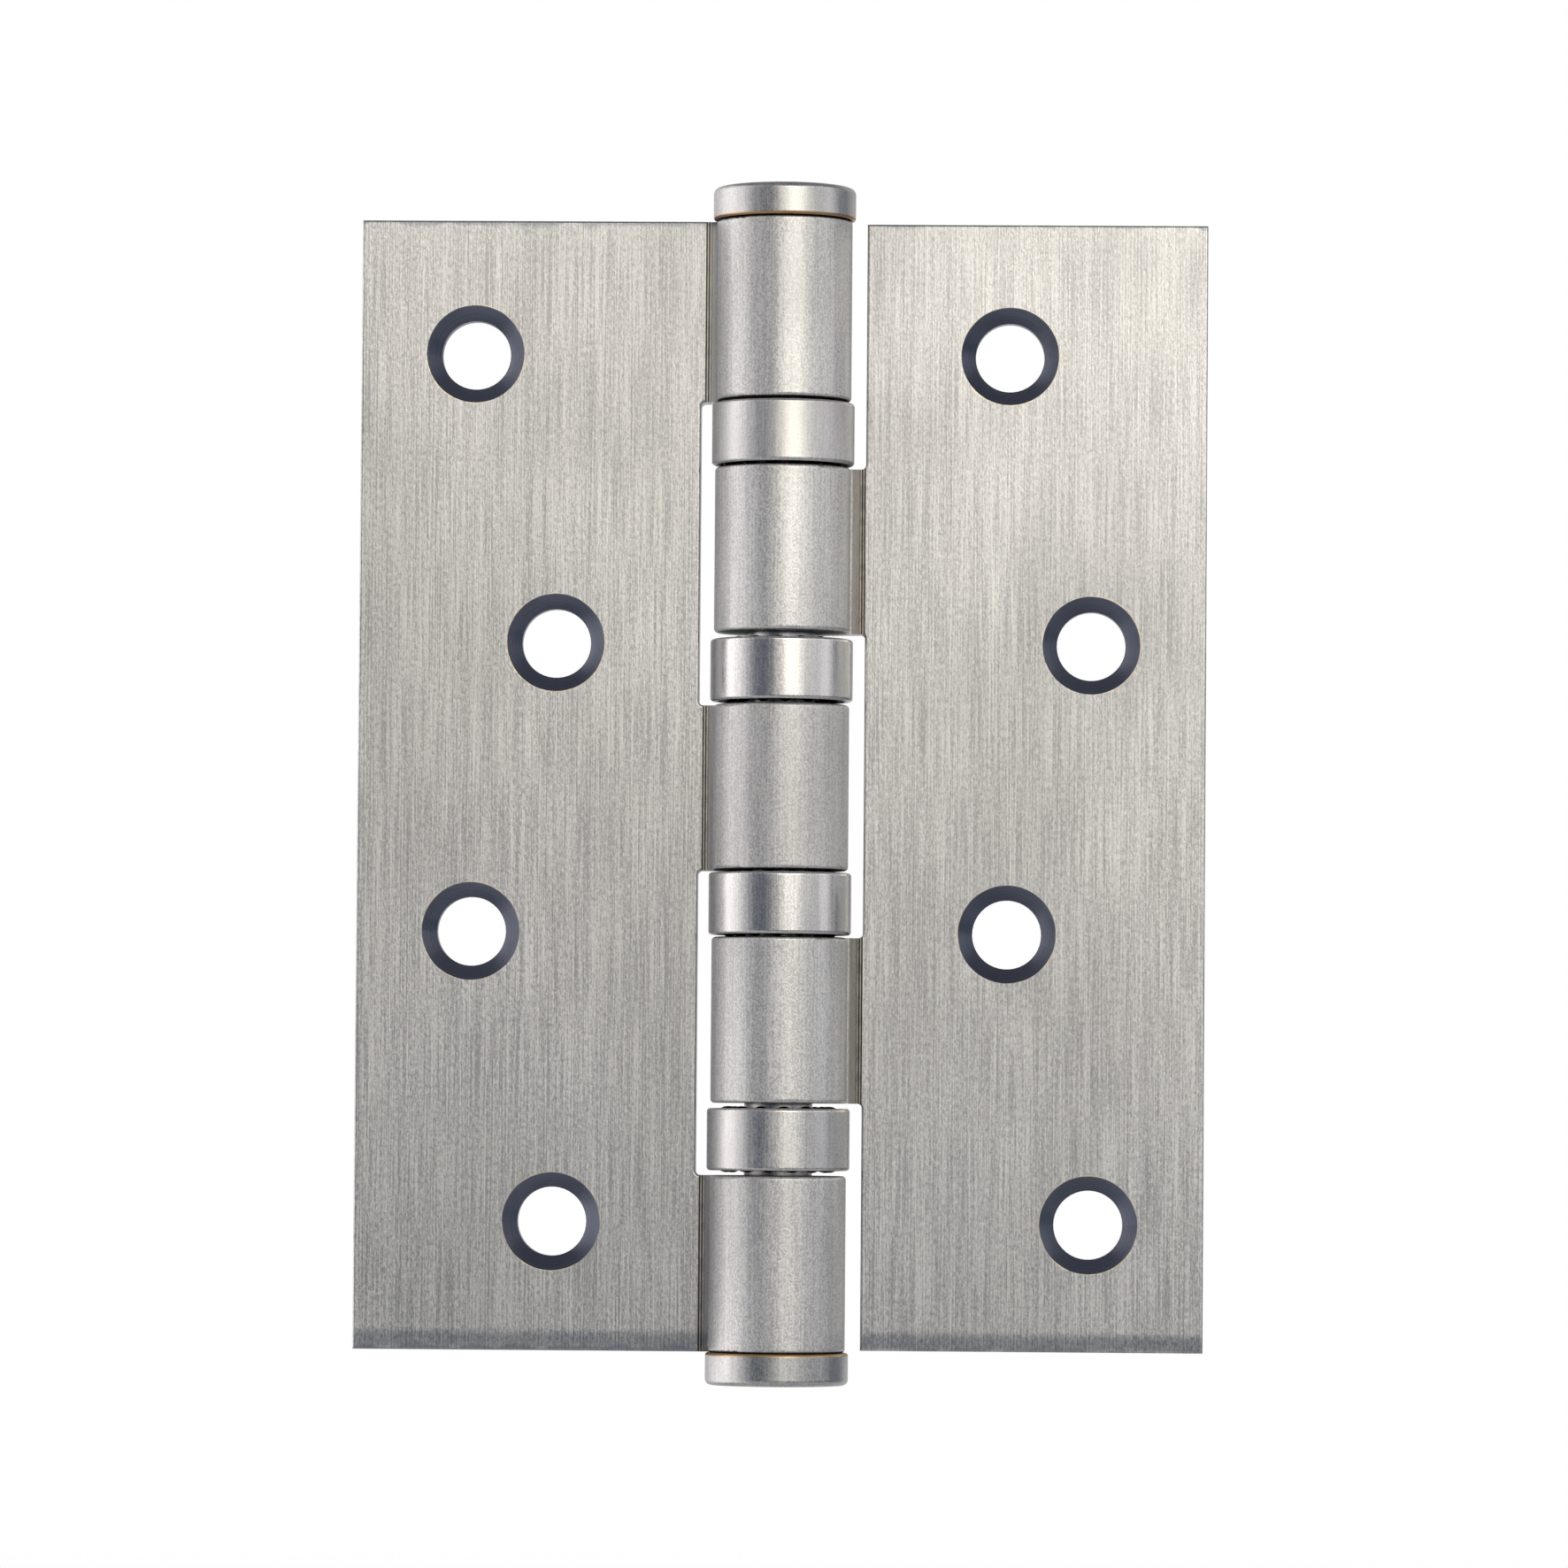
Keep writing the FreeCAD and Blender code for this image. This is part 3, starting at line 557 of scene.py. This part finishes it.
def ball_row_tree():
    """Balls set evenly on a circle round the pin, each turned its own way."""
    tree = bpy.data.node_groups.new("ball_row", "GeometryNodeTree")
    tree.is_modifier = True
    for title, kind in (("Balls", "NodeSocketInt"), ("Circle Radius", "NodeSocketFloat"),
                        ("Ball Radius", "NodeSocketFloat"), ("Level", "NodeSocketFloat"),
                        ("Turn", "NodeSocketFloat"), ("Seed", "NodeSocketInt"),
                        ("Finish", "NodeSocketMaterial")):
        tree.interface.new_socket(title, in_out="INPUT", socket_type=kind)
    tree.interface.new_socket("Row", in_out="OUTPUT", socket_type="NodeSocketGeometry")
    wiring = Wiring(tree)
    given = wiring.node("NodeGroupInput").outputs
    circle = wiring.node("GeometryNodeMeshCircle")
    wiring.feed(circle.inputs["Vertices"], given["Balls"])
    wiring.feed(circle.inputs["Radius"], given["Circle Radius"])
    lift = wiring.node("ShaderNodeCombineXYZ")
    wiring.feed(lift.inputs["Z"], given["Level"])
    spin = wiring.node("ShaderNodeCombineXYZ")
    wiring.feed(spin.inputs["Z"], given["Turn"])
    seat = wiring.node("GeometryNodeTransform")
    wiring.feed(seat.inputs["Geometry"], circle.outputs["Mesh"])
    wiring.feed(seat.inputs["Translation"], lift.outputs[0])
    wiring.feed(seat.inputs["Rotation"], spin.outputs[0])
    ball = wiring.node("GeometryNodeMeshIcoSphere")
    wiring.feed(ball.inputs["Radius"], given["Ball Radius"])
    ball.inputs["Subdivisions"].default_value = BALL_SUBDIVISIONS
    smooth = wiring.node("GeometryNodeSetShadeSmooth")
    wiring.feed(smooth.inputs["Geometry"], ball.outputs["Mesh"])
    tumble = wiring.node("FunctionNodeRandomValue", data_type="FLOAT_VECTOR")
    tumble.inputs["Max"].default_value = (math.tau, math.tau, math.tau)
    wiring.feed(tumble.inputs["Seed"], given["Seed"])
    row = wiring.node("GeometryNodeInstanceOnPoints")
    wiring.feed(row.inputs["Points"], seat.outputs["Geometry"])
    wiring.feed(row.inputs["Instance"], smooth.outputs["Geometry"])
    wiring.feed(row.inputs["Rotation"], tumble.outputs["Value"])
    real = wiring.node("GeometryNodeRealizeInstances")
    painted = wiring.node("GeometryNodeSetMaterial")
    wiring.feed(real.inputs["Geometry"], row.outputs["Instances"])
    wiring.feed(painted.inputs["Geometry"], real.outputs["Geometry"])
    wiring.feed(painted.inputs["Material"], given["Finish"])
    wiring.feed(wiring.node("NodeGroupOutput").inputs["Row"], painted.outputs["Geometry"])
    return tree


def set_inputs(modifier, **values):
    """Sets a modifier's named inputs by their sockets' identifiers."""
    for item in modifier.node_group.interface.items_tree:
        name = item.name.replace(" ", "_").lower()
        if item.item_type == "SOCKET" and item.in_out == "INPUT" and name in values:
            modifier[item.identifier] = values[name]


def settled_mesh(name, tree, **values):
    """A plain mesh piece made by a Geometry Nodes tree."""
    blank = bpy.data.objects.new(f"{name}_blank", bpy.data.meshes.new(f"{name}_blank"))
    bpy.context.scene.collection.objects.link(blank)
    modifier = blank.modifiers.new("maker", "NODES")
    modifier.node_group = tree
    set_inputs(modifier, **values)
    bpy.context.view_layer.update()
    made = bpy.data.meshes.new_from_object(blank.evaluated_get(bpy.context.evaluated_depsgraph_get()))
    blank.modifiers.remove(modifier)
    bpy.data.objects.remove(blank)
    piece = bpy.data.objects.new(name, made)
    bpy.context.scene.collection.objects.link(piece)
    return piece


row_tree = ball_row_tree()
for bearing in BEARINGS:
    for order, row in enumerate(ROWS):
        node = f"bearing_{bearing}_{row}_balls"
        low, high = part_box(node)
        ball_radius = (high.z - low.z) / 2
        shell_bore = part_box(f"bearing_{bearing}_shell")[1].x - SHELL_WALL
        circle_radius = shell_bore - BALL_SIDE_CLEARANCE - ball_radius
        count = int(math.tau * circle_radius / (ball_radius * 2 + BALL_GAP))
        down_the_pin = 2 * bearing + order
        balls = settled_mesh(f"bearing_{bearing}_{row}_polished_balls", row_tree, balls=count,
                             circle_radius=circle_radius, ball_radius=ball_radius,
                             level=(low.z + high.z) / 2, turn=math.radians(ROW_TURN * down_the_pin),
                             seed=down_the_pin, finish=ball_material)
        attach(balls, f"bearing_{bearing}_{row}_row")
        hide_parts(node)


# ---- the floor ----
FLOOR_DROP = 0.06                    # the hinge hangs clear of the floor, as it does on a door
FLOOR_RADIUS = 0.85
FLOOR_FADE = (0.45, 0.98)            # where it starts to fade out and where it is gone, as shares
FLOOR_PAINT = (0.93, 0.93, 0.93, 1.0)
floor_level = cad_low.z - FLOOR_DROP


def pale_floor():
    material = bpy.data.materials.new("pale_floor")
    material.use_nodes = True
    material.node_tree.nodes.clear()
    wiring = Wiring(material.node_tree)
    matt = wiring.node("ShaderNodeBsdfDiffuse")
    matt.inputs["Color"].default_value = FLOOR_PAINT
    clear = wiring.node("ShaderNodeBsdfTransparent")
    mixed = wiring.node("ShaderNodeMixShader")
    from_middle = wiring.vector("LENGTH", object_place(wiring))
    starts, gone = (FLOOR_RADIUS * share for share in FLOOR_FADE)
    wiring.feed(mixed.inputs[0], wiring.ramp(from_middle, starts, gone))
    wiring.feed(mixed.inputs[1], matt.outputs[0])
    wiring.feed(mixed.inputs[2], clear.outputs[0])
    wiring.feed(wiring.node("ShaderNodeOutputMaterial").inputs["Surface"], mixed.outputs[0])
    return material


bpy.ops.mesh.primitive_circle_add(vertices=96, radius=FLOOR_RADIUS, fill_type="NGON")
floor = bpy.context.object
floor.name = "floor"
floor.location.z = floor_level
floor.data.materials.append(pale_floor())
floor.visible_glossy = False


# ---- the light ----
# Each soft box: its left and right edges as azimuths, its lower and upper edges as elevations, and how
# wide it fades at the sides and at top and bottom, all in degrees, and then its light.  Azimuth 0 is
# straight in front of the hinge and 90 on its right.  A later box covers an earlier one.
SOFT_BOXES = {
    "over_camera": ((-14, 10), (5, 34), (9, 8), (0.95, 0.88, 0.83)),
    "fill": ((30, 66), (-0.5, 34), (10, 4), (0.78, 0.77, 0.76)),
    "right": ((66, 90), (-0.5, 34), (10, 4), (1.12, 1.10, 1.11)),
    "left": ((-128, -65), (-30, 38), (30, 12), (1.65, 1.59, 1.58)),
    "under_key": ((3, 34), (-1.4, 22), (9, 2), (0.66, 0.66, 0.67)),
    "key": ((3, 34), (6, 22), (9, 7), (4.6, 4.38, 3.82)),
}
LOW_FRONT = (0.075, 0.10, 0.145, 1.0)      # the dim front wall, near the floor and higher up
HIGH_FRONT = (0.22, 0.22, 0.235, 1.0)
TABLE = (0.42, 0.42, 0.43, 1.0)      # below the wall
BEHIND = (0.62, 0.62, 0.63, 1.0)     # the wall behind the hinge
FRONT_BRIGHTENS = (-0.12, 0.3)       # from low to high front, by how far a direction points up
TABLE_BEGINS = (-0.17, -0.38)        # from the wall to the table, the same
BEHIND_BEGINS = (0.35, 0.95)         # from front to behind, by how far it points back


def studio_surroundings():
    """A room with soft boxes round the hinge and a dim front wall.  Seen directly it is plain white."""
    world = bpy.data.worlds.new("studio")
    world.use_nodes = True
    world.node_tree.nodes.clear()
    wiring = Wiring(world.node_tree)
    across, back, up = wiring.parts(wiring.node("ShaderNodeTexCoord").outputs["Generated"])
    azimuth = wiring.math("ARCTAN2", across, wiring.times(back, -1.0))
    elevation = wiring.math("ARCSINE", up)

    def between(value, low, high, fade):
        low, high, fade = (math.radians(number) for number in (low, high, fade))
        return wiring.times(wiring.ramp(value, low - fade, low + fade),
                            wiring.ramp(value, high + fade, high - fade))

    wall = wiring.blend(wiring.ramp(up, *FRONT_BRIGHTENS), LOW_FRONT, HIGH_FRONT)
    front = wiring.blend(wiring.ramp(up, *TABLE_BEGINS), wall, TABLE)
    light = wiring.blend(wiring.ramp(back, *BEHIND_BEGINS), front, BEHIND)
    for sides, levels, (side_fade, level_fade), glow in SOFT_BOXES.values():
        share = wiring.times(between(azimuth, *sides, side_fade), between(elevation, *levels, level_fade))
        light = wiring.blend(share, light, (*glow, 1.0))
    seen = wiring.node("ShaderNodeLightPath").outputs["Is Camera Ray"]
    surround = wiring.node("ShaderNodeBackground")
    wiring.feed(surround.inputs["Color"], wiring.blend(seen, light, WHITE))
    wiring.feed(wiring.node("ShaderNodeOutputWorld").inputs["Surface"], surround.outputs[0])
    bpy.context.scene.world = world


FLOOR_LIGHT_SIZE = 1.2
FLOOR_LIGHT_HEIGHT = 1.2
FLOOR_LIGHT_WATTS = 14.0


def floor_light():
    """A wide soft box overhead that keeps the floor pale and gives the hinge its soft shadow."""
    panel = bpy.data.lights.new("floor_light", "AREA")
    panel.size = FLOOR_LIGHT_SIZE
    panel.energy = FLOOR_LIGHT_WATTS
    box = bpy.data.objects.new("floor_light", panel)
    bpy.context.scene.collection.objects.link(box)
    box.location.z = FLOOR_LIGHT_HEIGHT
    box.visible_camera = False
    box.visible_glossy = False


studio_surroundings()
floor_light()


# ---- the camera ----
CAMERA_PLACE = (0.01814, -0.71083, -0.02942)
CAMERA_YAW, CAMERA_PITCH, CAMERA_ROLL = -0.0251, 0.0415, 0.0075    # in radians
CAMERA_LENS, CAMERA_SENSOR = 182.1, 36.0   # in millimetres


def studio_camera():
    """In front, a little below the middle, tipped up and turned slightly left, with a long lens."""
    level = math.cos(CAMERA_PITCH)
    ahead = Vector((math.sin(CAMERA_YAW) * level, math.cos(CAMERA_YAW) * level, math.sin(CAMERA_PITCH)))
    right = Vector((math.cos(CAMERA_YAW), -math.sin(CAMERA_YAW), 0.0))
    up = right.cross(ahead)
    across = right * math.cos(CAMERA_ROLL) + up * math.sin(CAMERA_ROLL)
    upright = up * math.cos(CAMERA_ROLL) - right * math.sin(CAMERA_ROLL)
    camera = bpy.data.objects.new("camera", bpy.data.cameras.new("camera"))
    bpy.context.scene.collection.objects.link(camera)
    camera.data.sensor_width = CAMERA_SENSOR
    camera.data.lens = CAMERA_LENS
    camera.data.clip_start, camera.data.clip_end = 0.01, 20.0
    turned = Matrix((across, upright, -ahead)).transposed().to_4x4()
    camera.matrix_world = Matrix.Translation(CAMERA_PLACE) @ turned
    bpy.context.scene.camera = camera


studio_camera()
bpy.context.scene.view_settings.view_transform = "Standard"
